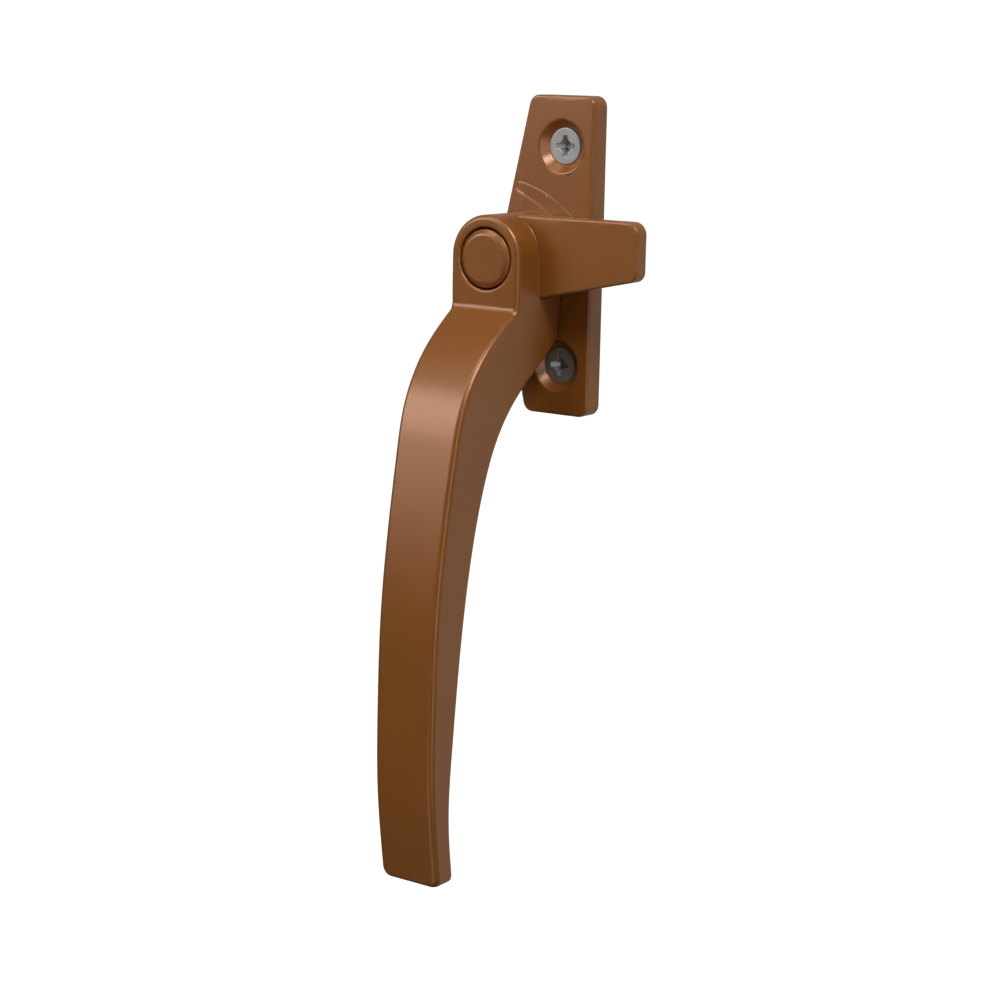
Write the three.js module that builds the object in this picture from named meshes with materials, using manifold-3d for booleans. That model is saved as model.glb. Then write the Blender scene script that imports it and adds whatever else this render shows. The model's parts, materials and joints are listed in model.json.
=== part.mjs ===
// Cockspur window handle: a lever and locking nose cast in one piece, which turns on a small
// screw-fixed base plate. A push button in the hub drives a square key into a keeper behind the
// plate, and so locks the handle either closed or open.
//
// Millimetres, +Z up, front towards -Y. The origin is midway between the two fixing holes, on the
// face that lies against the window sash. Shapes are drawn on a bench: x to the right, y up the
// window and z the height off the sash. The outer group stands the bench up.

import * as THREE from 'three';
import { mergeVertices } from 'three/addons/utils/BufferGeometryUtils.js';
import Module from 'manifold-3d';

const wasm = await Module();
wasm.setup();

// ---------------------------------------------------------------- driving dimensions

const HOLE_CENTRES = 43;          // between the fixing holes
const PIVOT_X = -7.7;             // the pivot's place, left of the fixing holes

const PLATE = {
  right: 7.5,
  top: 31.3,                      // half the plate's height
  endLeft: -7.4,                  // left edge at the two ends
  midLeft: -14.6,                 // where the two sloping left edges would meet
  midRadius: 6.76,                // round the pivot, where they do meet
  corner: 2.2,
  thick: 4.6,
  edge: 0.5,
};

// two shallow steps lead up to the pad that the hub turns over
const STEPS = [
  { rise: 0.15, radius: 25.0, x: -13.9, y: -10.3 },
  { rise: 0.3, radius: 50.0, x: -29.1, y: -33.5 },
];

const COUNTERSINK_R = 5.2;
const CLEARANCE_HOLE_R = 2.2;

const BORE_R = 4.15;              // plate's pivot bore
const REAR_POCKET = { radius: 5.45, depth: 3.35 };
const KEEPER = { halfWidth: 3.0, halfLength: 9.5, bottom: 0.1, top: 0.9, hole: 1.72 };
const KEEPER_RECESS_DEPTH = 1.0;
const KEEPER_GAP = 0.2;
const STAKE = { y: 7.6, radius: 0.8, hole: 0.95, tip: 0.35 };
const WAVE_WASHER = { inner: 4.25, outer: 5.2, bottom: 2.83, top: 3.13, waves: 3, lift: 0.1 };

const HUB = { radius: 8.05, rear: 5.1, front: 18.8, edge: 1.0, aboveCentre: 0.4 };
const LEVER_HALF_WIDTH = 7.0;     // along most of its length
const LEVER_FLARE = { start: -8, length: 18 };    // it widens upwards to meet the hub
const NECK = { top: 1, full: -6, extra: 0.85 };   // below the hub it also widens towards the back
const LEVER_BOTTOM = -121.2;
const LEVER_EDGE = 1.2;
const LEVER_END_CORNER = 2.2;
const WIDEST = { half: 10.6, y: 20 };              // clear of the lever's sides, above its top
const CLEAR = 0.02;

// side view of the lever, each point [height off the sash, distance up from the pivot]
const LEVER_FRONT = [
  [18.8, -9.75], [23.4, -13], [28.1, -17], [32.2, -22], [35.2, -28], [37.1, -35.5], [39.9, -51],
  [41.9, -67], [42.6, -85], [42.3, -103], [40.3, -119],
];
const LEVER_REAR = [
  [34.9, -119], [36.1, -108], [35.3, -93], [33.1, -73], [30.0, -55], [26.2, -41.7], [19.7, -30],
  [13.6, -24], [7.8, -18.9], [5.6, -16.5],
];
const LEVER_REAR_TOP = -15.8;
const LEVER_END = { frontPull: 40.0, flatFront: 38.4, flatRear: 36.2, rearPull: 34.9 };

// the back of the lever is cored out, as a die casting is
const CORE = {
  halfWidth: 4.7, wall: 2.4, mouth: [5, -21.5], topFront: -16.5, bottom: -102, end: [30, -104],
};

const NOSE = { tipX: 30.4, top: 8.3, tipBottom: -2.75, rootX: 8.4, rootBottom: -7.58 };
const NOSE_REAR = 8.5;
const NOSE_FRONT = 12.0;
const NOSE_EDGE = 0.4;
const NOSE_CORNERS = { bottom: 2.0, top: 2.5 };
const NOSE_RELIEF = { radius: 9.0, reach: 15, depth: 0.15 };     // beside the bearing face

const SPIGOT = {
  radius: 4.0, end: 1.1, chamfer: 0.2, grooveRadius: 3.45, grooveBottom: 1.6, grooveTop: 2.2,
};
const WASHER_SEAT = { radius: 6.3, depth: 0.7 };
const THRUST_WASHER = { inner: 4.15, outer: 6.1, bottom: 5.0, top: 5.7 };
const RETAINING_WASHER = { inner: 4.15, outer: 5.2, bottom: 2.25, top: 2.6 };
const CIRCLIP = { inner: 3.55, outer: 5.1, bottom: 1.67, top: 2.12, gapAngle: 0.9 };
const KEYWAY_R = 2.4;             // hole down the spigot
const KEY_CLIP_BORE = { radius: 2.9, top: 4.5 };

const BUTTON_BORE = { radius: 6.1, floor: 12.6, chamfer: 0.3 };
const BUTTON = { radius: 5.7, bottom: 16.2, front: 19.2, edge: 0.7, bossRadius: 2.9, bossEnd: 14.9 };
const KEY = { half: 1.5, tip: 2.4, top: 17.2, neckRadius: 1.45, neckBottom: 3.75, neckTop: 4.35 };
const SOCKET = { half: 1.6, top: 17.3 };
const KEY_CLIP = { inner: 1.55, outer: 2.7, bottom: 3.82, top: 4.27, gapAngle: 1.1 };

const SPRING = { wire: 0.5, turns: 3, bottomRadius: 5.2, topRadius: 3.6, bottom: 12.9, top: 15.9 };

const SCREW = { headRadius: 3.7, headTop: 3.2, rim: 0.1, shankRadius: 1.95, tip: -9.8, point: 3.4 };
const RECESS = { arm: 2.0, halfThick: 0.42, depth: 1.5, tipArm: 0.7, above: 0.1 };

const ROUND = 64;                 // sides of a large round
const SMALL_ROUND = 32;
const FINE_ROUND = 128;
const EDGE_STEPS = 4;             // across a rounded edge
const BEYOND = 1;                 // how far a cutting tool runs past the face it opens

// ---------------------------------------------------------------- solids

function solidOf(geometry) {
  const bare = geometry.index ? geometry.toNonIndexed() : geometry.clone();
  bare.deleteAttribute('normal');
  bare.deleteAttribute('uv');
  const welded = mergeVertices(bare, 1e-4);
  return new wasm.Manifold(new wasm.Mesh({
    numProp: 3,
    vertProperties: new Float32Array(welded.attributes.position.array),
    triVerts: new Uint32Array(welded.index.array),
  }));
}

function geometryOf(solid) {
  const mesh = solid.getMesh();
  const geometry = new THREE.BufferGeometry();
  geometry.setAttribute('position', new THREE.BufferAttribute(mesh.vertProperties, 3));
  geometry.setIndex(new THREE.BufferAttribute(mesh.triVerts, 1));
  geometry.computeVertexNormals();
  return geometry;
}

const vectors = (points) => points.map(([first, second]) => new THREE.Vector2(first, second));
const join = (first, ...rest) => rest.reduce((sum, next) => sum.add(next), first);
const cut = (body, ...tools) => tools.reduce((rest, tool) => rest.subtract(tool), body);

// A profile of [radius, height] points turned about the bench's z axis. It runs up the outside.
function turned(profile, sides = ROUND) {
  return solidOf(new THREE.LatheGeometry(vectors(profile), sides).rotateX(Math.PI / 2));
}

function post(radius, from, to, sides = ROUND) {
  return turned([[0, from], [radius, from], [radius, to], [0, to]], sides);
}

function ringProfile({ inner, outer, bottom, top }) {
  return [[inner, bottom], [outer, bottom], [outer, top], [inner, top], [inner, bottom]];
}

function ring(size) {
  return turned(ringProfile(size));
}

// The outside of a disc or cylinder, up from its rim to its rounded front edge.
function roundedRim(radius, front, edge) {
  const profile = [];
  for (let i = 0; i <= EDGE_STEPS; i += 1) {
    const angle = (i / EDGE_STEPS) * Math.PI / 2;
    profile.push([
      radius - edge * (1 - Math.cos(angle)),
      front - edge * (1 - Math.sin(angle)),
    ]);
  }
  return profile;
}

function block(halfX, halfY, from, to) {
  const geometry = new THREE.BoxGeometry(2 * halfX, 2 * halfY, to - from);
  return solidOf(geometry.translate(0, 0, (from + to) / 2));
}

// A flat outline raised between two heights. Both rims are rounded where an edge radius is given.
function raised(shape, from, to, edge = 0) {
  const geometry = new THREE.ExtrudeGeometry(shape, {
    depth: to - from - 2 * edge,
    curveSegments: 12,
    bevelEnabled: edge > 0,
    bevelThickness: edge,
    bevelSize: edge,
    bevelOffset: -edge,
    bevelSegments: 3,
  });
  return solidOf(geometry.translate(0, 0, from + edge));
}

// An outline through [x, y, corner radius] points, listed counter-clockwise, with true arcs.
function roundedOutline(corners) {
  const shape = new THREE.Shape();
  corners.forEach(([x, y, radius], i) => {
    const here = new THREE.Vector2(x, y);
    const [px, py] = corners[(i + corners.length - 1) % corners.length];
    const [nx, ny] = corners[(i + 1) % corners.length];
    const back = new THREE.Vector2(px, py).sub(here).normalize();
    const ahead = new THREE.Vector2(nx, ny).sub(here).normalize();
    const half = Math.acos(back.dot(ahead)) / 2;
    const centre = back.clone().add(ahead).normalize().multiplyScalar(radius / Math.sin(half)).add(here);
    const first = back.clone().multiplyScalar(radius / Math.tan(half)).add(here).sub(centre);
    const last = ahead.clone().multiplyScalar(radius / Math.tan(half)).add(here).sub(centre);
    if (radius > 0) {
      shape.absarc(centre.x, centre.y, radius, first.angle(), last.angle(), false);
    } else if (i === 0) {
      shape.moveTo(x, y);
    } else {
      shape.lineTo(x, y);
    }
  });
  shape.closePath();
  return shape;
}

// A flat ring with a gap in it, like a snap ring.
function snapRing({ inner, outer, bottom, top, gapAngle }) {
  const shape = new THREE.Shape();
  shape.absarc(0, 0, outer, gapAngle / 2, 2 * Math.PI - gapAngle / 2, false);
  shape.absarc(0, 0, inner, 2 * Math.PI - gapAngle / 2, gapAngle / 2, true);
  shape.closePath();
  return solidOf(new THREE.ExtrudeGeometry(shape, {
    depth: top - bottom,
    curveSegments: 40,
    bevelEnabled: false,
  }).translate(0, 0, bottom));
}

// ---------------------------------------------------------------- base plate and what it holds

function plateOutline() {
  return roundedOutline([
    [PLATE.right, PLATE.top, PLATE.corner],
    [PLATE.endLeft, PLATE.top, PLATE.corner],
    [PLATE.midLeft, 0, PLATE.midRadius],
    [PLATE.endLeft, -PLATE.top, PLATE.corner],
    [PLATE.right, -PLATE.top, PLATE.corner],
  ]);
}

// The plate's outline up to some height, flat behind and rounded in front.
function plateSlab(height) {
  const depthBelow = 2 * PLATE.edge + BEYOND;
  const below = block(PLATE.top, 2 * PLATE.top, -depthBelow - BEYOND, 0);
  return cut(raised(plateOutline(), -depthBelow, height, PLATE.edge), below);
}

function plateStep({ rise, radius, x, y }) {
  const top = PLATE.thick + rise + BEYOND;
  const above = post(radius, -BEYOND, top, FINE_ROUND).translate([x, y, 0]);
  const below = post(radius, -BEYOND, top, FINE_ROUND).translate([x, -y, 0]);
  return plateSlab(PLATE.thick + rise).intersect(above).intersect(below);
}

function fixingHole() {
  const seat = PLATE.thick - (COUNTERSINK_R - CLEARANCE_HOLE_R);
  return turned([
    [0, -BEYOND], [CLEARANCE_HOLE_R, -BEYOND], [CLEARANCE_HOLE_R, seat],
    [COUNTERSINK_R, PLATE.thick], [COUNTERSINK_R + BEYOND, PLATE.thick + BEYOND],
    [0, PLATE.thick + BEYOND],
  ]);
}

function stadium(halfWidth, halfLength) {
  const shape = new THREE.Shape();
  shape.absarc(0, halfLength - halfWidth, halfWidth, 0, Math.PI, false);
  shape.absarc(0, halfWidth - halfLength, halfWidth, Math.PI, 2 * Math.PI, false);
  shape.closePath();
  return shape;
}

function basePlate() {
  const recess = stadium(KEEPER.halfWidth + KEEPER_GAP, KEEPER.halfLength + KEEPER_GAP);
  const pivotCuts = join(
    post(BORE_R, -BEYOND, 2 * PLATE.thick),
    post(REAR_POCKET.radius, -BEYOND, REAR_POCKET.depth),
    raised(recess, -BEYOND, KEEPER_RECESS_DEPTH),
  ).translate([PIVOT_X, 0, 0]);
  const stakeRoot = KEEPER_RECESS_DEPTH + BEYOND;
  const stakes = [-STAKE.y, STAKE.y].map((y) =>
    post(STAKE.radius, STAKE.tip, stakeRoot, SMALL_ROUND).translate([PIVOT_X, y, 0]));
  const holes = [-1, 1].map((side) => fixingHole().translate([0, side * HOLE_CENTRES / 2, 0]));
  const slab = join(plateSlab(PLATE.thick), ...STEPS.map(plateStep));
  return join(cut(slab, pivotCuts, ...holes), ...stakes);
}

function keeperPlate() {
  const stakeHoles = [-STAKE.y, STAKE.y].map((y) =>
    post(STAKE.hole, -BEYOND, KEEPER.top + BEYOND, SMALL_ROUND).translate([0, y, 0]));
  return cut(
    raised(stadium(KEEPER.halfWidth, KEEPER.halfLength), KEEPER.bottom, KEEPER.top),
    block(KEEPER.hole, KEEPER.hole, -BEYOND, KEEPER.top + BEYOND),
    ...stakeHoles,
  );
}

// A thin ring bent into waves.
function waveWasher() {
  const { waves, lift } = WAVE_WASHER;
  const washer = new THREE.LatheGeometry(vectors(ringProfile(WAVE_WASHER)), ROUND);
  washer.rotateX(Math.PI / 2);
  const position = washer.attributes.position;
  for (let i = 0; i < position.count; i += 1) {
    const turn = Math.atan2(position.getY(i), position.getX(i));
    position.setZ(i, position.getZ(i) + lift * Math.cos(waves * turn));
  }
  return solidOf(washer);
}

function crossRecess() {
  const arm = new THREE.Shape(vectors([
    [-RECESS.arm, RECESS.above],
    [-RECESS.tipArm, -RECESS.depth],
    [RECESS.tipArm, -RECESS.depth],
    [RECESS.arm, RECESS.above],
  ]));
  const blade = new THREE.ExtrudeGeometry(arm, { depth: 2 * RECESS.halfThick, bevelEnabled: false });
  blade.translate(0, 0, -RECESS.halfThick).rotateX(Math.PI / 2).translate(0, 0, SCREW.headTop);
  const first = solidOf(blade.clone());
  const second = solidOf(blade.clone().rotateZ(Math.PI / 2));
  return join(first, second);
}

function fixingScrew() {
  const neck = SCREW.headTop - SCREW.rim - (SCREW.headRadius - SCREW.shankRadius);
  const body = turned([
    [0, SCREW.tip], [SCREW.shankRadius, SCREW.tip + SCREW.point], [SCREW.shankRadius, neck],
    [SCREW.headRadius, SCREW.headTop - SCREW.rim], [SCREW.headRadius - SCREW.rim, SCREW.headTop],
    [0, SCREW.headTop],
  ], SMALL_ROUND);
  return cut(body, crossRecess());
}

// ---------------------------------------------------------------- handle

// Half the width at a height off the sash and a distance y up from the pivot.
function halfWidthAt(height, y) {
  const flare = Math.exp(Math.min(y - LEVER_FLARE.start, 0) / LEVER_FLARE.length);
  const depth = THREE.MathUtils.clamp((HUB.front - height) / (HUB.front - HUB.rear), 0, 1);
  const below = THREE.MathUtils.clamp((NECK.top - y) / (NECK.top - NECK.full), 0, 1);
  return LEVER_HALF_WIDTH + (HUB.radius - LEVER_HALF_WIDTH + NECK.extra * depth * below) * flare;
}

// A side view, [height, y] points, carried across the handle's width.
function acrossWidth(shape, halfWidth, edge = 0) {
  const geometry = new THREE.ExtrudeGeometry(shape, {
    depth: 2 * (halfWidth - edge),
    curveSegments: 3,
    bevelEnabled: edge > 0,
    bevelThickness: edge,
    bevelSize: edge,
    bevelOffset: -edge,
    bevelSegments: 3,
  });
  return geometry.translate(0, 0, edge - halfWidth).rotateY(-Math.PI / 2);
}

function leverBlank() {
  const shape = new THREE.Shape();
  shape.moveTo(HUB.rear, NECK.top);
  shape.lineTo(HUB.front, NECK.top);
  shape.lineTo(...LEVER_FRONT[0]);
  shape.splineThru(vectors(LEVER_FRONT.slice(1)));
  shape.quadraticCurveTo(LEVER_END.frontPull, LEVER_BOTTOM, LEVER_END.flatFront, LEVER_BOTTOM);
  shape.lineTo(LEVER_END.flatRear, LEVER_BOTTOM);
  shape.quadraticCurveTo(LEVER_END.rearPull, LEVER_BOTTOM, ...LEVER_REAR[0]);
  shape.splineThru(vectors(LEVER_REAR.slice(1)));
  shape.lineTo(HUB.rear, LEVER_REAR_TOP);
  shape.lineTo(HUB.rear, NECK.full);
  shape.closePath();
  const blank = acrossWidth(shape, LEVER_HALF_WIDTH, LEVER_EDGE);
  const position = blank.attributes.position;
  for (let i = 0; i < position.count; i += 1) {
    const halfWidth = halfWidthAt(position.getZ(i), position.getY(i));
    position.setX(i, position.getX(i) * halfWidth / LEVER_HALF_WIDTH);
  }
  const bottomHalf = LEVER_HALF_WIDTH + CLEAR;
  const frontView = roundedOutline([
    [WIDEST.half, WIDEST.y, 0], [-WIDEST.half, WIDEST.y, 0],
    [-bottomHalf, LEVER_BOTTOM, LEVER_END_CORNER], [bottomHalf, LEVER_BOTTOM, LEVER_END_CORNER],
  ]);
  return solidOf(blank).intersect(raised(frontView, 0, 2 * LEVER_END.frontPull));
}

// The space inside the lever, open behind: its front follows the lever's, one wall's thickness in.
function leverCore() {
  const front = new THREE.SplineCurve(vectors(LEVER_FRONT));
  const steps = 24;
  const inner = [];
  for (let i = 0; i <= steps; i += 1) {
    const at = front.getPointAt(i / steps);
    const along = front.getTangentAt(i / steps);
    const point = new THREE.Vector2(at.x + CORE.wall * along.y, at.y - CORE.wall * along.x);
    if (point.y < CORE.topFront && point.y > CORE.bottom) {
      inner.push(point);
    }
  }
  const shape = new THREE.Shape([...vectors([CORE.mouth]), ...inner, ...vectors([CORE.end])]);
  return solidOf(acrossWidth(shape, CORE.halfWidth));
}

function hubBlank() {
  const rim = roundedRim(HUB.radius, HUB.front, HUB.edge);
  const disc = turned([[0, HUB.rear], [HUB.radius, HUB.rear], ...rim, [0, HUB.front]]);
  return disc.translate([0, HUB.aboveCentre, 0]);
}

function nose() {
  const outline = roundedOutline([
    [0, NOSE.top, 0],
    [0, NOSE.rootBottom, 0],
    [NOSE.rootX, NOSE.rootBottom, 0],
    [NOSE.tipX, NOSE.tipBottom, NOSE_CORNERS.bottom],
    [NOSE.tipX, NOSE.top, NOSE_CORNERS.top],
  ]);
  const beside = stadium(NOSE_RELIEF.radius, NOSE_RELIEF.reach);
  const relief = raised(beside, NOSE_REAR - BEYOND, NOSE_REAR + NOSE_RELIEF.depth);
  return cut(
    raised(outline, NOSE_REAR, NOSE_FRONT, NOSE_EDGE),
    relief.translate([0, NOSE_RELIEF.radius - NOSE_RELIEF.reach, 0]),
  );
}

function spigot() {
  return turned([
    [0, SPIGOT.end], [SPIGOT.radius - SPIGOT.chamfer, SPIGOT.end],
    [SPIGOT.radius, SPIGOT.end + SPIGOT.chamfer],
    [SPIGOT.radius, SPIGOT.grooveBottom], [SPIGOT.grooveRadius, SPIGOT.grooveBottom],
    [SPIGOT.grooveRadius, SPIGOT.grooveTop], [SPIGOT.radius, SPIGOT.grooveTop],
    [SPIGOT.radius, HUB.rear + BEYOND], [0, HUB.rear + BEYOND],
  ]);
}

function handleCasting() {
  const washerSeat = ring({
    inner: SPIGOT.radius,
    outer: WASHER_SEAT.radius,
    bottom: HUB.rear - BEYOND,
    top: HUB.rear + WASHER_SEAT.depth,
  });
  const buttonBore = turned([
    [0, BUTTON_BORE.floor], [BUTTON_BORE.radius, BUTTON_BORE.floor],
    [BUTTON_BORE.radius, HUB.front - BUTTON_BORE.chamfer],
    [BUTTON_BORE.radius + 2 * BUTTON_BORE.chamfer, HUB.front + BUTTON_BORE.chamfer],
    [0, HUB.front + BUTTON_BORE.chamfer],
  ]);
  const keyway = post(KEYWAY_R, -BEYOND, BUTTON_BORE.floor + BEYOND, SMALL_ROUND);
  const clipBore = post(KEY_CLIP_BORE.radius, -BEYOND, KEY_CLIP_BORE.top, SMALL_ROUND);
  const blank = join(leverBlank(), hubBlank(), nose());
  return cut(
    join(cut(blank, washerSeat, leverCore()), spigot()),
    buttonBore,
    keyway,
    clipBore,
  );
}

// ---------------------------------------------------------------- push button and its key

function pushButton() {
  const socket = block(SOCKET.half, SOCKET.half, BUTTON.bossEnd - BEYOND, SOCKET.top);
  return cut(turned([
    [0, BUTTON.bossEnd], [BUTTON.bossRadius, BUTTON.bossEnd], [BUTTON.bossRadius, BUTTON.bottom],
    [BUTTON.radius, BUTTON.bottom], ...roundedRim(BUTTON.radius, BUTTON.front, BUTTON.edge),
    [0, BUTTON.front],
  ]), socket);
}

function lockKey() {
  const neckCut = cut(
    block(2 * KEY.half, 2 * KEY.half, KEY.neckBottom, KEY.neckTop),
    post(KEY.neckRadius, KEY.tip, KEY.top, SMALL_ROUND),
  );
  return cut(block(KEY.half, KEY.half, KEY.tip, KEY.top), neckCut);
}

// A cone-shaped compression spring, which can press almost flat.
function buttonSpring() {
  class ConicalHelix extends THREE.Curve {
    getPoint(t) {
      const angle = 2 * Math.PI * SPRING.turns * t;
      const radius = THREE.MathUtils.lerp(SPRING.bottomRadius, SPRING.topRadius, t);
      const height = THREE.MathUtils.lerp(SPRING.bottom, SPRING.top, t);
      return new THREE.Vector3(radius * Math.cos(angle), radius * Math.sin(angle), height);
    }
  }
  const section = new THREE.Shape();
  section.absarc(0, 0, SPRING.wire / 2, 0, 2 * Math.PI, false);
  return solidOf(new THREE.ExtrudeGeometry(section, {
    extrudePath: new ConicalHelix(),
    steps: SPRING.turns * 18,
    curveSegments: 4,
    bevelEnabled: false,
  }));
}

// ---------------------------------------------------------------- assembly

const finish = (color, roughness, metalness) => () =>
  new THREE.MeshStandardMaterial({ color, roughness, metalness });
const bronzePaint = finish(0x80542b, 0.42, 0.4);
const zincPlate = finish(0xb9bcc0, 0.3, 1);
const springSteel = finish(0x6e7072, 0.35, 1);
const nylon = finish(0xe9e6dc, 0.5, 0);

function piece(name, solid, material) {
  const mesh = new THREE.Mesh(geometryOf(solid), material);
  mesh.name = name;
  return mesh;
}

const bench = new THREE.Group();
bench.rotation.x = Math.PI / 2;

bench.add(piece('base_plate', basePlate(), bronzePaint()));
for (const [name, side] of [['upper_fixing_screw', 1], ['lower_fixing_screw', -1]]) {
  const screw = piece(name, fixingScrew(), zincPlate());
  screw.position.y = side * HOLE_CENTRES / 2;
  bench.add(screw);
}

const aboutPivot = new THREE.Group();
aboutPivot.position.x = PIVOT_X;
bench.add(aboutPivot);
aboutPivot.add(
  piece('keeper_plate', keeperPlate(), zincPlate()),
  piece('wave_washer', waveWasher(), springSteel()),
  piece('retaining_washer', ring(RETAINING_WASHER), zincPlate()),
  piece('spigot_circlip', snapRing(CIRCLIP), springSteel()),
  piece('thrust_washer', ring(THRUST_WASHER), nylon()),
  piece('handle_casting', handleCasting(), bronzePaint()),
  piece('push_button', pushButton(), bronzePaint()),
  piece('button_spring', buttonSpring(), springSteel()),
  piece('lock_key', lockKey(), zincPlate()),
  piece('key_clip', snapRing(KEY_CLIP), springSteel()),
);

const cockspurHandle = new THREE.Group();
cockspurHandle.add(bench);

export default cockspurHandle;
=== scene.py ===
# Cockspur window handle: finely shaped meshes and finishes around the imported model.
import json
import math

import bmesh
import bpy
import numpy as np
from mathutils import Matrix, Vector


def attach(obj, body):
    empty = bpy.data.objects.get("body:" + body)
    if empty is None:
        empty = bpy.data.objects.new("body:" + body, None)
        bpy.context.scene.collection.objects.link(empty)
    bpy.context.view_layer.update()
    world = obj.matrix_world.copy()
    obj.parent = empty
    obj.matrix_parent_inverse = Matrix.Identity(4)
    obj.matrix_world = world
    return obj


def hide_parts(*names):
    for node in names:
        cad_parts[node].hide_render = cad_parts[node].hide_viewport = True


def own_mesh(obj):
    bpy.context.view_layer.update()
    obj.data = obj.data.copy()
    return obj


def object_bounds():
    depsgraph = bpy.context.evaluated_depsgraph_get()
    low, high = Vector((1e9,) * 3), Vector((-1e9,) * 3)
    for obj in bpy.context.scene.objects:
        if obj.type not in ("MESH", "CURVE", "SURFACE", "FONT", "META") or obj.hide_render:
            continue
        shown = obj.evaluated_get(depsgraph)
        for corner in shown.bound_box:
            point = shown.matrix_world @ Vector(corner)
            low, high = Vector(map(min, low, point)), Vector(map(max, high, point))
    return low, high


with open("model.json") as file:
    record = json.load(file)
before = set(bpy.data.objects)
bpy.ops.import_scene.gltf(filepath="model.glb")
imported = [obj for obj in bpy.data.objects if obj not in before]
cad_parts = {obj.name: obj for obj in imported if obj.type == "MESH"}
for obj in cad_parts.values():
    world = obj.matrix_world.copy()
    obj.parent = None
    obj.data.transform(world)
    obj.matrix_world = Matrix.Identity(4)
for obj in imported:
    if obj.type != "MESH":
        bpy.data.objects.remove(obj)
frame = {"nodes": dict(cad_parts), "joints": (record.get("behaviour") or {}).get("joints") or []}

CAD_BOX = [list(corner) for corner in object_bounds()]

# Shapes are worked out on a bench, in millimetres: x to the right, y up the window and h the
# height off the sash. The handle's shapes are measured from its pivot, the others from midway
# between the fixing holes.
MM = 0.001
PIVOT_X = next(j for j in frame["joints"] if j["name"] == "handle_turn")["pos_m"][0] / MM
PIVOT = (PIVOT_X, 0)

# Base plate
HOLE_Y = 21.5                     # fixing holes, up and down from the middle
PLATE_THICK = 4.6
PLATE_EDGE, PLATE_BACK_EDGE = 0.5, 0.2
PLATE_OUTLINE = [                 # x, y, corner radius, counter-clockwise
    (7.5, 31.3, 2.2), (-7.4, 31.3, 2.2), (-14.6, 0, 6.76), (-7.4, -31.3, 2.2), (7.5, -31.3, 2.2),
]
STEPS = [                         # rise, radius, centre x and y of each shallow step's arc
    (0.15, 25.0, -13.9, -10.3),
    (0.3, 50.0, -29.1, -33.5),
]
STEP_WIDTH, STEP_SPREAD = 0.24, 0.7     # across the first step, and how a higher one widens
STEP_FADE = (0.3, 3.8)            # the steps fade out between these distances from the outline
COUNTERSINK_R, COUNTERSINK_EDGE = 5.2, 0.15
COUNTERSINK_REACH = 1             # how far beyond its rim the countersink's cone may cut
CLEARANCE_R = 2.2
BORE_R = 4.15
POCKET_R, POCKET_DEPTH = 5.45, 3.35

# Keeper plate, its recess in the base plate and the two stakes that hold it
KEEPER_HALF_WIDTH, KEEPER_HALF_LENGTH = 3.0, 9.5
KEEPER_BOTTOM, KEEPER_TOP = 0.1, 0.9
KEEPER_HOLE, KEEPER_HOLE_CORNER = 1.72, 0.1
KEEPER_PLAY, KEEPER_RECESS = 0.2, 1
STAKE_Y, STAKE_R, STAKE_HOLE_R, STAKE_TIP, STAKE_ROOT = 7.6, 0.8, 0.95, 0.35, 1.5

# Handle casting: hub and lever. The spans are distances below the pivot.
HUB_R, HUB_REAR, HUB_FRONT, HUB_EDGE = 8.05, 5.1, 18.8, 1.0
ARCH_Y = 0.4                      # the arch over the hub is centred this far above the pivot
LEVER_HALF = 7.0
FLARE_START, FLARE_LENGTH, FLARE_BEND = -8.0, 18.0, 1.5
NECK_EXTRA, NECK_SPAN = 0.85, (-1.0, 7.0)
LEVER_BOTTOM, LEVER_EDGE, LEVER_CORNER, LEVER_END_EDGE = -121.2, 1.2, 2.4, 0.9
FRONT_CREASE, REAR_CREASE = 0.6, 0.5
FRONT_EDGE_SPAN = (10, 24)
REAR_EDGE, REAR_EDGE_MORE, REAR_EDGE_SPAN = 0.25, 0.9, (14, 26)
LEVER_FRONT = [                   # height, y
    (18.8, -9.75), (23.4, -13), (28.1, -17), (32.2, -22), (35.2, -28), (37.1, -35.5), (39.9, -51),
    (41.9, -67), (42.6, -85), (42.3, -103), (40.3, -119),
]
LEVER_REAR = [
    (5.1, -15.8), (7.8, -18.9), (13.6, -24), (19.7, -30), (26.2, -41.7), (30.0, -55), (33.1, -73),
    (35.3, -93), (36.1, -108), (34.9, -119),
]
CORE_HALF, CORE_WALL, CORE_BOTTOM, CORE_CORNER, CORE_EDGE = 4.7, 2.4, -102.5, 0.8, 0.35
MOUTH_Y, MOUTH_H, MOUTH_SLOPE = -21.5, 5, (0.42, 0.11)      # the core's end towards the hub

# Handle casting: nose, spigot and bores
NOSE_OUTLINE = [(0, 8.3, 0), (0, -7.58, 0), (8.4, -7.58, 0), (30.4, -2.75, 2.0), (30.4, 8.3, 2.5)]
NOSE_REAR, NOSE_FRONT, NOSE_EDGE, NOSE_FILLET = 8.5, 12.0, 0.45, 0.3
RELIEF_R, RELIEF_DEPTH = 9.0, 0.15
WASHER_SEAT_R, WASHER_SEAT_DEPTH = 6.3, 0.7
SPIGOT_R, SPIGOT_END, SPIGOT_ROOT, SPIGOT_EDGE = 4.0, 1.1, 8, 0.25
GROOVE_R, GROOVE_LOW, GROOVE_HIGH = 3.45, 1.6, 2.2
KEYWAY_R, CLIP_BORE_R, CLIP_BORE_TOP = 2.4, 2.9, 4.5
BUTTON_BORE_R, BUTTON_BORE_FLOOR, BORE_LIP = 6.1, 12.6, 0.24

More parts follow.
